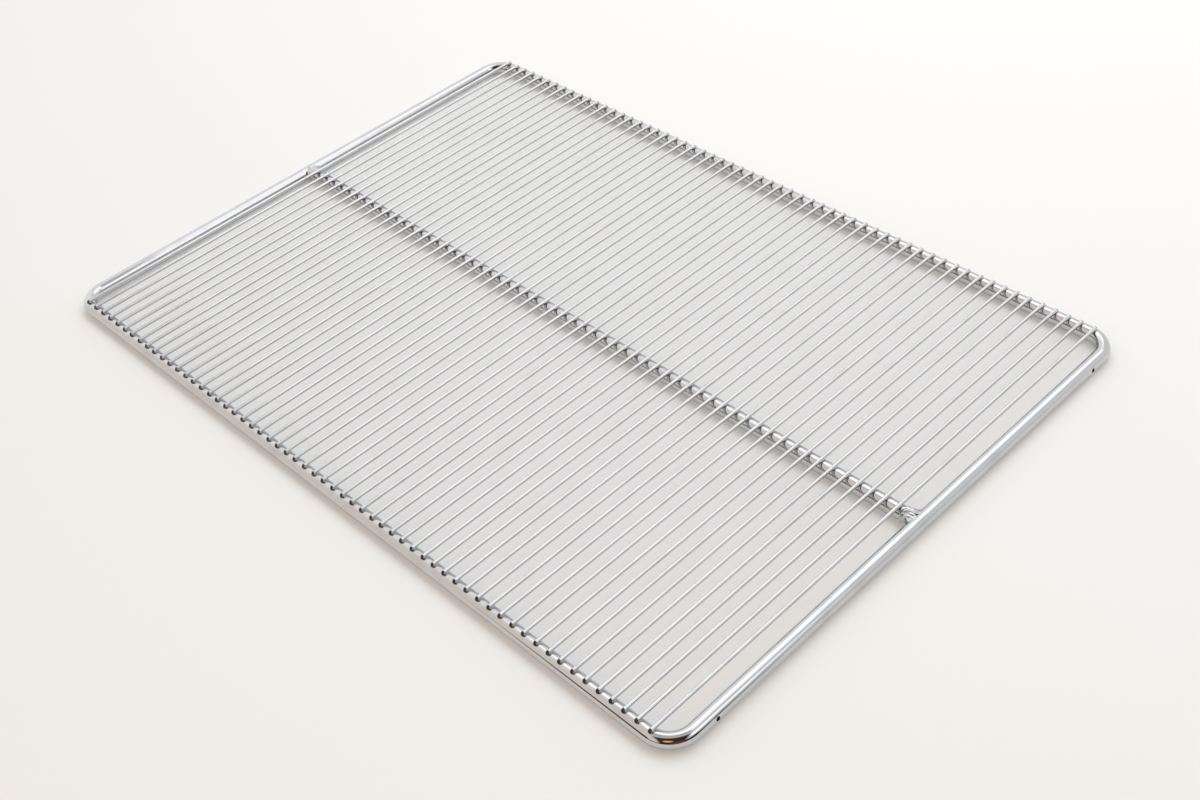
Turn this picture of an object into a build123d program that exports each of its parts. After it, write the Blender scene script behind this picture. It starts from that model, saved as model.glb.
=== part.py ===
"""Chrome-plated wire shelf for a refrigerator.

A round tube is bent to a rounded rectangle and closed. A crossbar of the same tube is welded across
it, and a deck of thin straight wires is resistance welded on top. Millimetres, +Z up. The origin is
the middle of the shelf on the plane it stands on, +X runs along the crossbar and -Y is the front.
"""

import os
from math import cos, radians, sin

from build123d import *

# Frame tube
frame_width = 610.0  # outside, along X
frame_depth = 430.0  # outside, along Y
tube_diameter = 10.0
tube_wall = 1.0
bend_radius = 17.0  # of the corners, to the tube's centre line

# Vent holes, drilled through the outer wall of the right-hand tube near both of its ends
vent_diameter = 3.0
vent_inset = 36.0  # from the outside of the frame's front and back
vent_rise = 8.0  # degrees above level

# Crossbar, cut square from the frame's tube
crossbar_set_back = 2.5  # behind the middle of the depth
root_gap = 0.5  # between the crossbar's ends and the side tubes, filled by the weld

# Weld beads, barrel-shaped collars of weld metal round the crossbar's ends
bead_length = 9.0
bead_crown = 0.9  # above the tubes' tops
bead_bulge = 1.1  # the barrel's rise from its ends to its middle
bead_floor_gap = 0.2  # kept clear under the beads

# Deck wires
wire_count = 59
wire_diameter = 2.6
end_wire_inset = 14.0  # from a side tube's centre line to the nearest wire's axis
wire_overhang = 2.0  # past the long tubes' centre lines
wires_per_group = 2  # neighbours that share a node

# Worked out from the sizes above
tube_radius = tube_diameter / 2
bore_radius = tube_radius - tube_wall
half_width = frame_width / 2 - tube_radius  # to the side tubes' centre lines
half_depth = frame_depth / 2 - tube_radius  # to the long tubes' centre lines
crossbar_length = 2 * (half_width - tube_radius - root_gap)
bead_radius = (tube_diameter + bead_crown - bead_floor_gap) / 2  # at the barrel's middle
bead_height = bead_floor_gap + bead_radius  # of the barrel's axis
bead_place = half_width - tube_radius / 2  # of the barrel's middle
wire_radius = wire_diameter / 2
wire_height = tube_diameter + wire_radius  # of the wires' axes
wire_length = 2 * (half_depth + wire_overhang)
wire_pitch = 2 * (half_width - end_wire_inset) / (wire_count - 1)


def bent_bar(radius):
    """A solid round bar of the given radius, bent along the frame's centre line."""
    corner_x = half_width - bend_radius
    corner_y = half_depth - bend_radius
    with BuildPart() as bar:
        with BuildLine(Plane.XY.offset(tube_radius)) as centre_line:
            long_run = Line((-corner_x, -half_depth), (corner_x, -half_depth))
            near_bend = JernArc(long_run @ 1, long_run % 1, bend_radius, 90)
            side_run = Line(near_bend @ 1, (half_width, corner_y))
            far_bend = JernArc(side_run @ 1, side_run % 1, bend_radius, 90)
            back_run = Line(far_bend @ 1, (-corner_x, half_depth))
            back_bend = JernArc(back_run @ 1, back_run % 1, bend_radius, 90)
            left_run = Line(back_bend @ 1, (-half_width, -corner_y))
            JernArc(left_run @ 1, left_run % 1, bend_radius, 90)
        with BuildSketch(Plane(centre_line.wire() @ 0, z_dir=centre_line.wire() % 0)):
            Circle(radius)
        sweep(path=centre_line.wire())
    return bar.part


def straight_bar(radius, length):
    """A solid round bar of the given radius and length, along the crossbar's axis."""
    middle = Plane((0, crossbar_set_back, tube_radius), z_dir=(1, 0, 0))
    with BuildPart() as bar:
        with BuildSketch(middle):
            Circle(radius)
        extrude(amount=length / 2, both=True)
    return bar.part


# Outer forms of the tubes, which the weld beads seat against
frame_form = bent_bar(tube_radius)
crossbar_form = straight_bar(tube_radius, crossbar_length)
crossbar_bore = straight_bar(bore_radius, frame_width)

os.makedirs("parts", exist_ok=True)

# Frame tube, with its vent holes
with BuildPart() as frame_tube:
    add(frame_form)
    add(bent_bar(bore_radius), mode=Mode.SUBTRACT)
    for end in (-1, 1):
        vent_y = end * (frame_depth / 2 - vent_inset)
        vent_axis = (cos(radians(vent_rise)), 0, sin(radians(vent_rise)))
        with BuildSketch(Plane((half_width, vent_y, tube_radius), x_dir=(0, 1, 0), z_dir=vent_axis)):
            Circle(vent_diameter / 2)
        extrude(amount=tube_diameter, mode=Mode.SUBTRACT)
frame_tube.part.label = "frame_tube"
export_step(frame_tube.part, "parts/frame_tube.step")

# Crossbar
with BuildPart() as crossbar:
    add(crossbar_form)
    add(crossbar_bore, mode=Mode.SUBTRACT)
crossbar.part.label = "crossbar"
export_step(crossbar.part, "parts/crossbar.step")

# Weld beads, trimmed to the tubes that they join
with BuildPart() as weld_beads:
    middle = (bead_place, crossbar_set_back, bead_height)
    with BuildSketch(Plane(middle, x_dir=(1, 0, 0), z_dir=(0, -1, 0))):
        with BuildLine():
            crown = ThreePointArc(
                (-bead_length / 2, bead_radius - bead_bulge),
                (0, bead_radius),
                (bead_length / 2, bead_radius - bead_bulge),
            )
            Polyline(crown @ 1, (bead_length / 2, 0), (-bead_length / 2, 0), crown @ 0)
        make_face()
    revolve(axis=Axis((0, crossbar_set_back, bead_height), (1, 0, 0)))
    mirror(about=Plane.YZ)
    add(frame_form, mode=Mode.SUBTRACT)
    add(crossbar_form, mode=Mode.SUBTRACT)
    add(crossbar_bore, mode=Mode.SUBTRACT)
weld_beads.part.label = "weld_beads"
export_step(weld_beads.part, "parts/weld_beads.step")

# Deck wires, counted from the left, lying on the long tubes and the crossbar
wire_places = [wire_pitch * (i - (wire_count - 1) / 2) for i in range(wire_count)]
for first in range(0, wire_count, wires_per_group):
    group = wire_places[first : first + wires_per_group]
    with BuildPart() as deck_wires:
        with BuildSketch(Plane.XZ.offset(-wire_length / 2)):
            with Locations(*[(x, wire_height) for x in group]):
                Circle(wire_radius)
        extrude(amount=wire_length)
    numbers = "_".join(f"{first + i + 1:02d}" for i in range(len(group)))
    deck_wires.part.label = f"deck_wires_{numbers}"
    export_step(deck_wires.part, f"parts/deck_wires_{numbers}.step")
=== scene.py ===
"""Chrome-plated wire shelf for a refrigerator, dressed for its picture on a pale floor."""

from math import pi, radians

import bpy
import numpy as np
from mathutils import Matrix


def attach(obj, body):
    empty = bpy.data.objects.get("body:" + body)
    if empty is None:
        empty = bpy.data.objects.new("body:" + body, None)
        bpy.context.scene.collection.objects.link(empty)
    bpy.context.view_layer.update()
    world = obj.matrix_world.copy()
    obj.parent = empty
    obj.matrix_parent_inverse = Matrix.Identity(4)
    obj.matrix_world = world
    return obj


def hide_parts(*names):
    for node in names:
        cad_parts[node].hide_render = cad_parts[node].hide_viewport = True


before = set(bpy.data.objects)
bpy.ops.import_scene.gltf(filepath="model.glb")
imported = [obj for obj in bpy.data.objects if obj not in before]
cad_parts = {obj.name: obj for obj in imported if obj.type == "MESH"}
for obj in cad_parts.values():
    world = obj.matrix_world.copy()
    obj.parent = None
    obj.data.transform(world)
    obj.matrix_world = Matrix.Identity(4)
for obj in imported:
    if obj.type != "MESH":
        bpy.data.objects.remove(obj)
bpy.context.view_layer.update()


# Frame tube
# One length of round steel tube, bent cold to a rounded rectangle and closed by a butt weld in its left
# side, where the crossbar hides it. Two vent holes are drilled in its right side for the plating bath.
tube_radius = 0.005
half_width = 0.300  # from the middle of the shelf to the side tubes' centre lines
half_depth = 0.210  # and to the long tubes' centre lines
bend_radius = 0.017
crossbar_y = 0.0025
vent_radius = 0.0015
vent_y = 0.179
vent_rise = radians(8)
vent_depth = 0.004
vent_edge = 0.00016  # rounding of the holes' rims by the polishing
vent_floor = 0.55  # share of a hole's radius at which the ring on its floor lies
vent_apron = 0.65  # share of a hole's patch at which the ring outside its rim lies
apron_square = 0.4  # how nearly that ring follows the patch's square outline
joint_swell = 0.00045  # of the butt weld's top
joint_half = 0.0022
joint_span = 0.004  # of close rows on each side of the butt weld
frame_turns = 72  # points round the tube
vent_rings = 6  # rings of faces from a hole's middle to the plain tube
joint_rows = 8
left_rows = 30  # along each half of the left run
bend_rows = 24
long_rows = 72
right_rows = 50  # along the right run, between the holes
corner_rows = 3  # from a hole's patch to the next bend
crease_angle = radians(38)  # edges that turn by more stay sharp

tube_colour = (0.612, 0.620, 0.632, 1.0)
# Dark brown of bare steel, also used as painted shade in the vent holes and as painted dark reflection on the
# wire ends
rust_and_painted_shade = (0.045, 0.027, 0.016, 1.0)
film_shade = 0.82  # of the plate's colour, where the film is thick
drawing_scale = (1900.0, 1900.0, 22.0)  # drawn lines are fine across the stock and long along it
film_scale = 55.0
wave_scale = 160.0
speck_scale = 420.0
relief_height = 0.0002

corner_x = half_width - bend_radius
corner_y = half_depth - bend_radius
bend_length = bend_radius * pi / 2
frame_knots = np.cumsum(
    [
        0.0,
        crossbar_y + corner_y,
        bend_length,
        2 * corner_x,
        bend_length,
        2 * corner_y,
        bend_length,
        2 * corner_x,
        bend_length,
        corner_y - crossbar_y,
    ]
)
frame_centres_x = corner_x * np.array([-1, -1, -1, 1, 1, 1, 1, -1, -1, -1])
frame_centres_y = np.array([crossbar_y] + [-corner_y] * 4 + [corner_y] * 4 + [crossbar_y])
frame_headings = np.radians([180, 180, 270, 270, 360, 360, 450, 450, 540, 540])


def closed_both_ways(rows, columns):
    """Four-sided faces of a grid whose last row joins its first and whose last column joins its first."""
    corner = np.arange(rows * columns).reshape(rows, columns)
    ahead = np.roll(corner, -1, 0)
    return np.stack([corner, ahead, np.roll(ahead, -1, 1), np.roll(corner, -1, 1)], -1).reshape(-1, 4)


def add_piece(name, points, faces, finish, straight, bare):
    """A smooth mesh piece.

    Each point also keeps its place on the straight stock and its share of dark brown, for bare steel and
    painted shade.
    """
    mesh = bpy.data.meshes.new(name)
    mesh.from_pydata(points.reshape(-1, 3).tolist(), [], faces)
    mesh.attributes.new("straight", "FLOAT_VECTOR", "POINT").data.foreach_set("vector", straight.ravel())
    mesh.attributes.new("bare", "FLOAT", "POINT").data.foreach_set("value", bare.ravel())
    mesh.polygons.foreach_set("use_smooth", np.ones(len(mesh.polygons), bool))
    mesh.set_sharp_from_angle(angle=crease_angle)
    mesh.materials.append(finish)
    piece = bpy.data.objects.new(name, mesh)
    bpy.context.scene.collection.objects.link(piece)
    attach(piece, "root")
    return piece


def frame_skin(run, turn, radius):
    """A round section carried along the rounded rectangle.

    The section's middle is a corner centre, which slides from corner to corner along the straight runs and
    stands still in the bends, plus the bend radius in the outward direction. The section lies in the plane
    of the outward direction and the vertical.
    """
    heading = np.interp(run, frame_knots, frame_headings)
    reach = bend_radius + radius * np.cos(turn)
    x = np.interp(run, frame_knots, frame_centres_x) + reach * np.cos(heading)
    y = np.interp(run, frame_knots, frame_centres_y) + reach * np.sin(heading)
    return np.stack([x, y, tube_radius + radius * np.sin(turn)], -1)


class Finish:
    """A socket of a finish's nodes. Arithmetic on it adds Math nodes, also with a plain number first."""

    def __init__(self, tree, socket=None):
        self.tree = tree
        self.socket = socket

    def node(self, kind, settings, inputs, output=0):
        """Adds a node, sets its settings, then gives its sockets their values or links."""
        made = self.tree.nodes.new(kind)
        for name, value in settings.items():
            setattr(made, name, value)
        for name, value in inputs.items():
            if isinstance(value, Finish):
                self.tree.links.new(value.socket, made.inputs[name])
            else:
                made.inputs[name].default_value = value
        return Finish(self.tree, made.outputs[output] if made.outputs else None)

    def maths(self, operation, first, second):
        return self.node("ShaderNodeMath", {"operation": operation}, {0: first, 1: second})

    def __add__(self, other):
        return self.maths("ADD", self, other)

    def __sub__(self, other):
        return self.maths("SUBTRACT", self, other)

    def __rsub__(self, other):
        return self.maths("SUBTRACT", other, self)

    def __mul__(self, other):
        return self.maths("MULTIPLY", self, other)

    __radd__ = __add__
    __rmul__ = __mul__

    def between(self, low, high):
        """Rises smoothly from 0 where the socket is low to 1 where it is high."""
        settings = {"interpolation_type": "SMOOTHSTEP"}
        return self.node("ShaderNodeMapRange", settings, {0: self, 1: low, 2: high})

    def blend(self, first, second):
        """The first colour where the socket is 0 and the second where it is 1."""
        return self.node("ShaderNodeMix", {"data_type": "RGBA"}, {0: self, 6: first, 7: second}, 2)


def plated(name, colour, haze, relief):
    """Bright chrome plate over drawn steel.

    Fine lines run along the stock from the drawing, a thin patchy film dulls it and small specks pit it.
    Where the bare mark is set it turns dark brown and rough: bare steel, and also painted shade and painted
    dark reflection.
    """
    finish = bpy.data.materials.new(name)
    finish.use_nodes = True
    finish.node_tree.nodes.clear()
    bench = Finish(finish.node_tree)
    straight = bench.node("ShaderNodeAttribute", {"attribute_name": "straight"}, {}, "Vector")
    bare = bench.node("ShaderNodeAttribute", {"attribute_name": "bare"}, {}, "Fac")
    drawn = bench.node("ShaderNodeMapping", {}, {"Vector": straight, "Scale": drawing_scale})
    lines = bench.node("ShaderNodeTexNoise", {}, {"Vector": drawn, "Scale": 1.0, "Detail": 3.0})
    film = bench.node("ShaderNodeTexNoise", {}, {"Vector": straight, "Scale": film_scale, "Detail": 4.0})
    waves = bench.node("ShaderNodeTexNoise", {}, {"Vector": straight, "Scale": wave_scale, "Detail": 1.0})
    cells = bench.node("ShaderNodeTexVoronoi", {}, {"Vector": straight, "Scale": speck_scale})
    specks = 1 - cells.between(0.03, 0.09)
    cloud = film.between(0.42, 0.75)
    dull = (*[film_shade * c for c in colour[:3]], 1.0)
    tint = (cloud * 0.5 + specks * 0.35).blend(colour, dull)
    height = lines * 0.35 + waves * 0.65 - specks * 0.3
    bump = bench.node(
        "ShaderNodeBump", {}, {"Strength": relief, "Distance": relief_height, "Height": height}
    )
    # Where the bare mark is set the colour turns dark brown: bare steel, plus painted shade in the vent holes
    # and painted dark reflection on the wire ends.
    shader = bench.node(
        "ShaderNodeBsdfPrincipled",
        {},
        {
            "Base Color": bare.blend(tint, rust_and_painted_shade),
            "Metallic": 1 - bare * 0.45,
            "Roughness": haze + cloud * 0.06 + lines * 0.03 + specks * 0.15 + bare * 0.25,
            "Normal": bump,
        },
    )
    bench.node("ShaderNodeOutputMaterial", {}, {"Surface": shader})
    return finish


tube_plate = plated("tube_plate", tube_colour, haze=0.07, relief=0.05)

vent_cell = 2 * pi / frame_turns
vent_half = vent_rings * vent_cell * tube_radius
right_run = frame_knots[4]
vent_runs = [right_run + corner_y - vent_y, right_run + corner_y + vent_y]
frame_spans = [
    (0.0, joint_span, joint_rows),
    (joint_span, frame_knots[1], left_rows),
    (frame_knots[1], frame_knots[2], bend_rows),
    (frame_knots[2], frame_knots[3], long_rows),
    (frame_knots[3], right_run, bend_rows),
    (right_run, vent_runs[0] - vent_half, corner_rows),
    (vent_runs[0] - vent_half, vent_runs[0] + vent_half, 2 * vent_rings),
    (vent_runs[0] + vent_half, vent_runs[1] - vent_half, right_rows),
    (vent_runs[1] - vent_half, vent_runs[1] + vent_half, 2 * vent_rings),
    (vent_runs[1] + vent_half, frame_knots[5], corner_rows),
    (frame_knots[5], frame_knots[6], bend_rows),
    (frame_knots[6], frame_knots[7], long_rows),
    (frame_knots[7], frame_knots[8], bend_rows),
    (frame_knots[8], frame_knots[9] - joint_span, left_rows),
    (frame_knots[9] - joint_span, frame_knots[9], joint_rows),
]
frame_stations = np.concatenate([np.linspace(a, b, n, endpoint=False) for a, b, n in frame_spans])
run, turn = np.meshgrid(frame_stations, vent_rise + vent_cell * np.arange(frame_turns), indexing="ij")

# The butt weld stands up on the tube's top in a bell shape along it, and two sets of waves make it lumpy.
joint_reach = np.minimum(run, frame_knots[-1] - run) / joint_half
joint_lumps = 0.75 + 0.3 * np.sin(7 * turn + 1.0) + 0.2 * np.sin(13 * turn + 2.0 * joint_reach)
joint_top = np.clip(np.sin(turn), 0, 1)
radius = tube_radius + joint_swell * np.exp(-(joint_reach**2)) * joint_top * joint_lumps

# A hole's faces start as a square patch of the tube's grid. Each square ring of points becomes a circle:
# the outer ring stays, the next ones close in on the rim, and the inner ones go down the drilled wall.
ring_a, ring_b = np.meshgrid(*[np.arange(-vent_rings, vent_rings + 1)] * 2, indexing="ij")
ring = np.maximum(abs(ring_a), abs(ring_b))
steeper = abs(ring_b) > abs(ring_a)
longer = np.where(steeper, ring_b, ring_a)
shorter = np.where(steeper, ring_a, ring_b)
slope = shorter / np.where(longer == 0, 1, longer)
bearing = np.where(steeper, pi / 2 - slope * pi / 4, slope * pi / 4) + pi * (longer < 0)
ring_reach = np.array(
    [
        0.0,
        vent_floor * vent_radius,
        vent_radius,
        vent_radius,
        vent_radius + vent_edge,
        vent_apron * vent_half,
        0.0,
    ]
)
ring_drop = np.array([vent_depth, vent_depth, vent_depth, vent_edge, 0.0, 0.0, 0.0])
ring_square = np.array([0.0, 0.0, 0.0, 0.0, 0.0, apron_square, 1.0])[ring]
cell_run = ring_a * vent_half / vent_rings
cell_turn = ring_b * vent_half / vent_rings
patch_run = ring_square * cell_run + (1 - ring_square) * ring_reach[ring] * np.cos(bearing)
patch_turn = ring_square * cell_turn + (1 - ring_square) * ring_reach[ring] * np.sin(bearing)
frame_bare_and_shade = np.zeros(run.shape)
for vent_run in vent_runs:
    rows = np.argmin(abs(frame_stations - vent_run)) + ring_a
    columns = ring_b % frame_turns
    radius[rows, columns] = tube_radius - ring_drop[ring]
    run[rows, columns] = vent_run + patch_run
    turn[rows, columns] = vent_rise + patch_turn / radius[rows, columns]
    # The drilled wall and the floor of each hole are coloured dark brown: partly bare steel, partly painted
    # shade for the tube's dark hollow inside, which is not built.
    frame_bare_and_shade[rows, columns] = (ring_drop[ring] > vent_edge) * 1.0

frame_points = frame_skin(run, turn, radius)
frame_straight = np.stack([radius * np.cos(turn), radius * np.sin(turn), run], -1)
frame_faces = closed_both_ways(*run.shape).tolist()
tube = add_piece("bent_frame", frame_points, frame_faces, tube_plate, frame_straight, frame_bare_and_shade)
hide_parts("frame_tube")


# Crossbar
# A straight length of the frame's tube, cut square and set between the side tubes a little behind the
# middle. It carries the wires' middles and keeps the frame from spreading.
bar_half = 0.2945
bar_bore = 0.004
bar_turns = 64
bar_rows = 90
bar_lot = 3.0  # where it was cut from the straight stock, past the frame's length


def once_round(count):
    """Angles in equal steps once round a circle."""
    return 2 * pi * np.arange(count) / count


def bar_skin(run, turn, radius):
    """Circles about the crossbar's axis."""
    return np.stack([run, crossbar_y + radius * np.cos(turn), tube_radius + radius * np.sin(turn)], -1)


# Out along the outer wall and back along the bore
bar_x = np.linspace(-bar_half, bar_half, bar_rows)
bar_wall = np.repeat([tube_radius, bar_bore], bar_rows)
run, turn = np.meshgrid(np.concatenate([bar_x, bar_x[::-1]]), once_round(bar_turns), indexing="ij")
radius = np.repeat(bar_wall[:, None], bar_turns, 1)
bar_points = bar_skin(run, turn, radius)
bar_straight = np.stack([radius * np.cos(turn), radius * np.sin(turn), run + bar_lot], -1)
bar_faces = closed_both_ways(*run.shape).tolist()
bar = add_piece("cross_tube", bar_points, bar_faces, tube_plate, bar_straight, np.zeros(run.shape))
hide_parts("crossbar")


# Weld beads
# Weld metal run round both ends of the crossbar, left as it froze and then plated: lumpy ripples on top
# and a small web on each side where it flows onto the side tube.
bead_start = 0.2880  # where a bead thins out on the crossbar
bead_root = 0.0002  # how far under the crossbar's surface it starts
bead_bite = 0.0006  # how far a bead runs in under the side tube's surface
bead_turns = 96
bead_rows = 48
bead_waves = 7  # that make its lumps
bead_crown = 0.00045
bead_web = 0.0040
bead_fall = 0.0009  # of its top towards the side tube
bead_floor = 0.0002  # kept clear under it
bead_hold = 0.0048  # height from the axis up to which its end follows the side tube
weld_colour = (0.60, 0.605, 0.61, 1.0)

weld_plate = plated("weld_plate", weld_colour, haze=0.10, relief=0.35)
rng = np.random.default_rng(11)


def eased(value, low, high):
    """Rises smoothly from 0 where the value is low to 1 where it is high."""
    part = np.clip((value - low) / (high - low), 0, 1)
    return part * part * (3 - 2 * part)


def bead_skin(share, turn, side):
    """Circles about the crossbar's axis whose radius swells from the bar to the bead.

    Ripples stand round the bead as scallops that lean along it, and lumps are a few random waves. The bead's
    end follows the round of the side tube. Towards it the top falls away and the radius widens near the level
    of the axis, which makes the web in the corner. The underside is cut off level above the floor.
    """
    scallops = abs(np.sin(7.5 * turn + 4.0 * share * side + side))
    lumps = np.zeros(share.shape)
    for _ in range(bead_waves):
        waves_round = rng.integers(2, 9)
        waves_along, phase = rng.uniform(4, 15), rng.uniform(0, 2 * pi)
        lumps = lumps + np.sin(waves_round * turn + waves_along * share + phase)
    swell = bead_crown * (0.40 + 0.65 * scallops + 0.17 * lumps)
    web = bead_web * share**3 * abs(np.cos(turn)) ** 2.5
    fall = bead_fall * eased(share, 0.45, 1.0) * np.clip(np.sin(turn), 0, 1)
    radius = tube_radius - bead_root + eased(share, 0.0, 0.18) * (bead_root + swell) + web - fall
    radius = np.minimum(radius, (tube_radius - bead_floor) / np.maximum(-np.sin(turn), 1e-6))
    height = np.clip(radius * np.sin(turn), -bead_hold, bead_hold)
    end = half_width - np.sqrt(tube_radius**2 - height**2) + bead_bite
    return bar_skin(side * (bead_start + (end - bead_start) * share), turn, radius)


share, turn = np.meshgrid(np.linspace(0, 1, bead_rows), once_round(bead_turns), indexing="ij")
for bead_name, side in (("left_bead", -1), ("right_bead", 1)):
    outer = bead_skin(share, turn, side)
    inner = bar_skin(outer[::-1, :, 0], turn, bar_bore)
    bead_points = np.concatenate([outer, inner])
    bead_faces = closed_both_ways(*bead_points.shape[:2])
    bead_faces = (bead_faces if side > 0 else bead_faces[:, ::-1]).tolist()
    bead_bare_and_shade = np.zeros(bead_points.shape[:2])
    bead = add_piece(bead_name, bead_points, bead_faces, weld_plate, bead_points, bead_bare_and_shade)
    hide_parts("weld_beads")


# Deck wires
# Straightened round steel wire, resistance welded across both long tubes and the crossbar, which sinks it
# a little into them. The ends were cropped with a slanting shear and are coloured dark brown: partly bare
# steel, partly a painted dark reflection.
wire_count = 59
wire_radius = 0.0013
wire_half = 0.212
wire_span = 0.572  # from the first wire to the last
wire_pitch = wire_span / (wire_count - 1)
wire_sink = 0.00015
wire_z = 2 * tube_radius + wire_radius - wire_sink
wire_turns = 16
wire_wander = 0.00042  # how far the ends stray sideways
wire_lot = 0.3  # from one wire's place on the straight stock to the next one's
crop_edge = 0.00014
crop_slant = np.tan(radians(33))  # the shear sets the wire's top back from its underside
crop_reach = 0.0030
bare_and_shade_reach = 0.0003  # of the dark brown from an end, bare steel and painted dark reflection
nugget_reach = 0.0011
nugget_swell = 0.0003
bay_steps = 9  # of points from one crossing to the next
near_crossing = np.array([-0.0030, -0.0018, -0.0010, -0.0005, 0.0, 0.0005, 0.0010, 0.0018, 0.0030])
wire_colour = (0.650, 0.657, 0.672, 1.0)

wire_plate = plated("wire_plate", wire_colour, haze=0.08, relief=0.04)
crossings = np.array([-half_depth, crossbar_y, half_depth])
wire_stations = np.concatenate(
    [
        [-wire_half, -wire_half + crop_edge],
        (crossings[:, None] + near_crossing).ravel(),
        np.linspace(-half_depth, crossbar_y, bay_steps)[1:-1],
        np.linspace(crossbar_y, half_depth, bay_steps)[1:-1],
        [wire_half - crop_edge, wire_half],
    ]
)
wire_stations = np.unique(wire_stations[abs(wire_stations) <= wire_half])
along, turn = np.meshgrid(wire_stations, once_round(wire_turns), indexing="ij")
from_end = wire_half - abs(along)
stray = rng.uniform(-wire_wander, wire_wander, (wire_count, 2))


def wire_skin(number):
    """Circles along a straight line from one strayed end to the other.

    Each end is cropped on a slant: near it the circles lean over, by more the nearer they are, so that the
    top lies further in. Its edge is a little rounded. Over each crossing the underside swells into the weld
    in a bell shape along the wire.
    """
    middle = wire_pitch * (number - (wire_count - 1) / 2)
    place = (along + wire_half) / (2 * wire_half)
    x = middle + stray[number, 0] * (1 - place) + stray[number, 1] * place
    nugget = np.exp(-(((along[..., None] - crossings) / nugget_reach) ** 2)).sum(-1)
    radius = wire_radius + nugget_swell * nugget * np.clip(-np.sin(turn), 0, 1) ** 1.5
    radius = radius - crop_edge * (from_end < crop_edge / 2)
    lean = crop_slant * radius * (1 + np.sin(turn)) * np.clip(1 - from_end / crop_reach, 0, 1)
    y = along - np.sign(along) * lean
    return np.stack([x + radius * np.cos(turn), y, wire_z + radius * np.sin(turn)], -1)


corner = np.arange(along.size).reshape(along.shape)
wire_sides = np.stack(
    [corner[:-1], np.roll(corner[:-1], -1, 1), np.roll(corner[1:], -1, 1), corner[1:]], -1
).reshape(-1, 4)
# The last bit of each end is marked dark brown: bare steel, and a painted dark reflection of the room's dark
# side.
wire_bare_and_shade = np.clip(1 - from_end / bare_and_shade_reach, 0, 1)
for node in sorted(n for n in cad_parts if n.startswith("deck_wires")):
    numbers = [int(n) - 1 for n in node.split("_")[2:]]
    pair_points = np.concatenate([wire_skin(n).reshape(-1, 3) for n in numbers])
    pair_straight = pair_points + np.repeat(np.array(numbers) * wire_lot, along.size)[:, None]
    pair_straight = pair_straight[:, [0, 2, 1]]
    pair_bare_and_shade = np.tile(wire_bare_and_shade.ravel(), len(numbers))
    pair_faces = []
    for first in range(0, len(pair_points), along.size):
        pair_faces += (wire_sides + first).tolist()
        pair_faces += [(corner[0] + first).tolist(), (corner[-1, ::-1] + first).tolist()]
    pair = add_piece(node.replace("deck_", ""), pair_points, pair_faces, wire_plate, pair_straight, pair_bare_and_shade)
    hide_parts(node)


# Floor
# A smooth, pale, matt board that the shelf lies on. Part of its white is its own, so that it stays pale
# under the deck, and the rest takes the light and the shelf's shadow.
floor_half = 300.0
floor_colour = (0.814, 0.816, 0.814, 1.0)
floor_white = (0.93, 0.927, 0.92, 1.0)
floor_share = 0.24

floor_paint = bpy.data.materials.new("floor_paint")
floor_paint.use_nodes = True
floor_paint.node_tree.nodes.clear()
bench = Finish(floor_paint.node_tree)
board = bench.node(
    "ShaderNodeBsdfPrincipled", {}, {"Base Color": floor_colour, "Roughness": 0.6, "Specular IOR Level": 0.3}
)
white = bench.node("ShaderNodeEmission", {}, {"Color": floor_white, "Strength": 1.0})
seen = bench.node("ShaderNodeLightPath", {}, {}, "Is Camera Ray")
seen = seen + bench.node("ShaderNodeLightPath", {}, {}, "Is Glossy Ray")
seen = seen + bench.node("ShaderNodeLightPath", {}, {}, "Is Transmission Ray")
own_white = seen.between(0.0, 1.0) * floor_share
surface = bench.node("ShaderNodeMixShader", {}, {0: own_white, 1: board, 2: white})
bench.node("ShaderNodeOutputMaterial", {}, {"Surface": surface})
floor_mesh = bpy.data.meshes.new("floor")
floor_corners = floor_half * np.array([(-1, -1, 0), (1, -1, 0), (1, 1, 0), (-1, 1, 0)])
floor_mesh.from_pydata(floor_corners.tolist(), [], [(0, 1, 2, 3)])
floor_mesh.materials.append(floor_paint)
floor = bpy.data.objects.new("floor", floor_mesh)
bpy.context.scene.collection.objects.link(floor)


# Light
# A pale room, bright on its left and warm on the camera's side, where dark brown panels give the chrome its
# black bands. A softbox hangs behind the shelf, with a broad cool lamp that the chrome doesn't show, and a
# weak warm lamp fills the shadows from the front.
ceiling = (0.60, 0.60, 0.60, 1.0)
back_wall = (0.865, 0.863, 0.855, 1.0)
left_wall = (1.11, 1.11, 1.11, 1.0)
right_wall = (0.74, 0.73, 0.72, 1.0)
warm_wall = (0.92, 0.82, 0.71, 1.0)
dark_side = (0.055, 0.034, 0.021, 1.0)
brown_side = (0.16, 0.085, 0.042, 1.0)
lamp_glow = (1.1, 0.52, 0.17, 1.0)
far_window = (1.60, 1.61, 1.63, 1.0)

world = bpy.data.worlds.new("white_room")
bpy.context.scene.world = world
world.use_nodes = True
world.node_tree.nodes.clear()
bench = Finish(world.node_tree)
toward = bench.node("ShaderNodeTexCoord", {}, {}, "Generated")


def facing(azimuth, elevation):
    """How nearly a ray from the shelf points that way: the cosine of the angle between them.

    In degrees, the azimuth goes from the back, 0, to the right, 90, and the elevation from level, 0, to 90.
    """
    a, e = radians(azimuth), radians(elevation)
    way = (np.sin(a) * np.cos(e), np.cos(a) * np.cos(e), np.sin(e))
    return bench.node("ShaderNodeVectorMath", {"operation": "DOT_PRODUCT"}, {0: toward, 1: way}, "Value")


# Walls, ceiling and a window
up = facing(0, 90)
room = facing(75, 5).between(0.80, 0.97).blend(back_wall, right_wall)
room = facing(-85, 25).between(0.50, 1.0).blend(room, left_wall)
room = facing(180, 25).between(0.20, 0.70).blend(room, warm_wall)
room = up.between(0.86, 0.95).blend(room, ceiling)
room = facing(66, 43).between(0.965, 0.99).blend(room, far_window)

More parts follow.
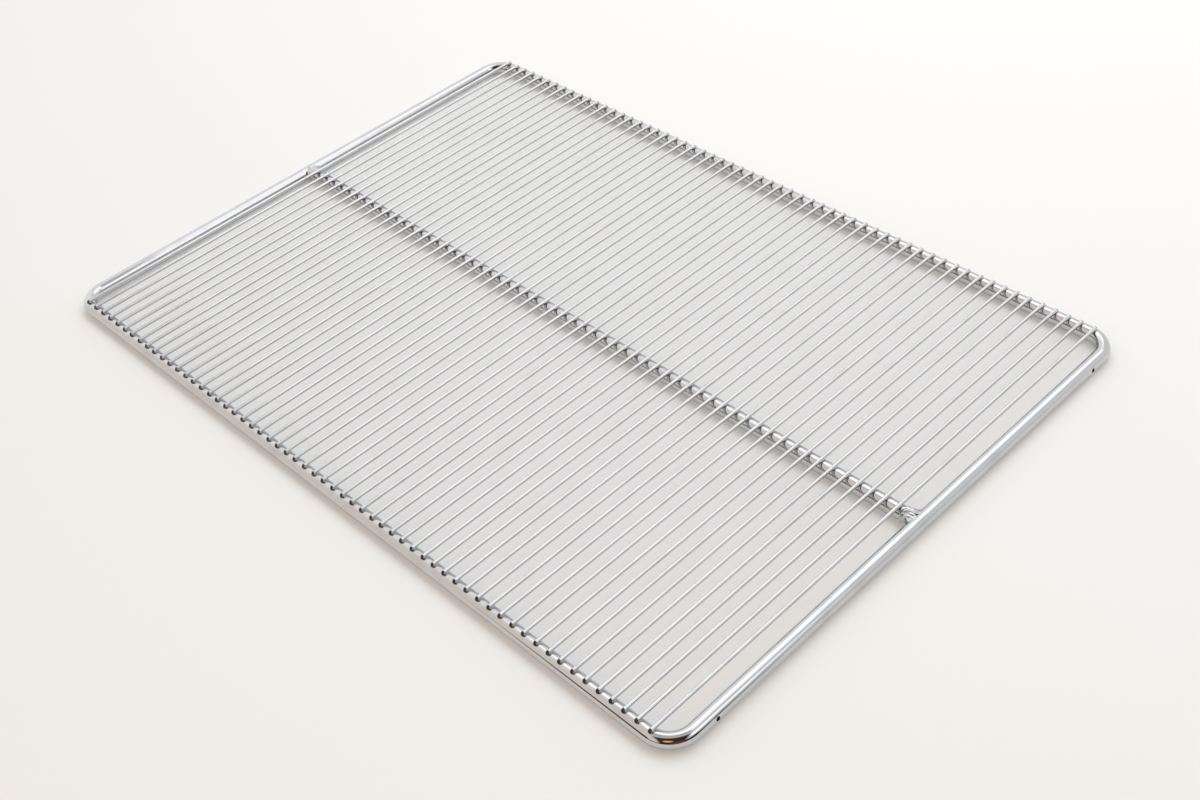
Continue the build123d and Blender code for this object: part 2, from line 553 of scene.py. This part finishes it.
# Dark panels, which end a little above the horizon, and a glow over them
low_panel = facing(112, 0).between(0.61, 0.70) * (1 - up.between(0.34, 0.50))
skirting = facing(185, 0).between(0.87, 0.93) * (1 - up.between(0.14, 0.24))
small_panel = facing(202, 10).between(0.972, 0.99)
aside = bench.node("ShaderNodeMath", {"operation": "ABSOLUTE"}, {0: facing(44, 0)})
tall_panel = facing(134, 0).between(0.14, 0.24) * (1 - aside.between(0.44, 0.60))
brown_panel = facing(120, 12).between(0.93, 0.99)
clear = up.between(0.03, 0.07)
for panel in (low_panel, skirting, small_panel, tall_panel):
    room = (panel * clear).blend(room, dark_side)
room = (brown_panel * clear).blend(room, brown_side)
room = facing(146, 40).between(0.975, 0.992).blend(room, lamp_glow)
shader = bench.node("ShaderNodeBackground", {}, {"Color": room, "Strength": 1.0})
bench.node("ShaderNodeOutputWorld", {}, {"Surface": shader})


def add_lamp(name, size, energy, colour, place):
    """A flat rectangular lamp that faces straight down."""
    light = bpy.data.lights.new(name, "AREA")
    light.shape = "RECTANGLE"
    light.size, light.size_y = size
    light.energy = energy
    light.color = colour
    lamp = bpy.data.objects.new(name, light)
    lamp.location = place
    bpy.context.scene.collection.objects.link(lamp)
    return lamp


add_lamp("softbox", size=(1.4, 1.5), energy=5.2, colour=(0.97, 0.985, 1.0), place=(-0.20, 1.08, 1.50))
back_lamp = add_lamp(
    "back_light", size=(2.6, 1.4), energy=19.0, colour=(0.88, 0.955, 1.0), place=(-0.40, 0.90, 1.60)
)
back_lamp.visible_glossy = False
warm_lamp = add_lamp("bulb", size=(1.2, 1.2), energy=1.1, colour=(1.0, 0.60, 0.20), place=(0.55, -1.35, 1.05))
warm_lamp.rotation_euler = (radians(54.3), 0.0, radians(22.1))  # turned to the shelf
warm_lamp.data.spread = radians(80)
warm_lamp.visible_glossy = False


# Camera
# It stands over the shelf's front right corner, tipped a little to one side, as the photograph was taken.
lens = bpy.data.cameras.new("camera")
lens.lens = 46.101
lens.sensor_width = 36.0
lens.clip_start = 0.01
lens.clip_end = 200.0
camera = bpy.data.objects.new("camera", lens)
camera.location = (0.65011, -0.52291, 0.67808)
camera.rotation_euler = (radians(47.7790), radians(5.3065), radians(45.1507))
bpy.context.scene.collection.objects.link(camera)
bpy.context.scene.camera = camera
bpy.context.scene.view_settings.view_transform = "Standard"
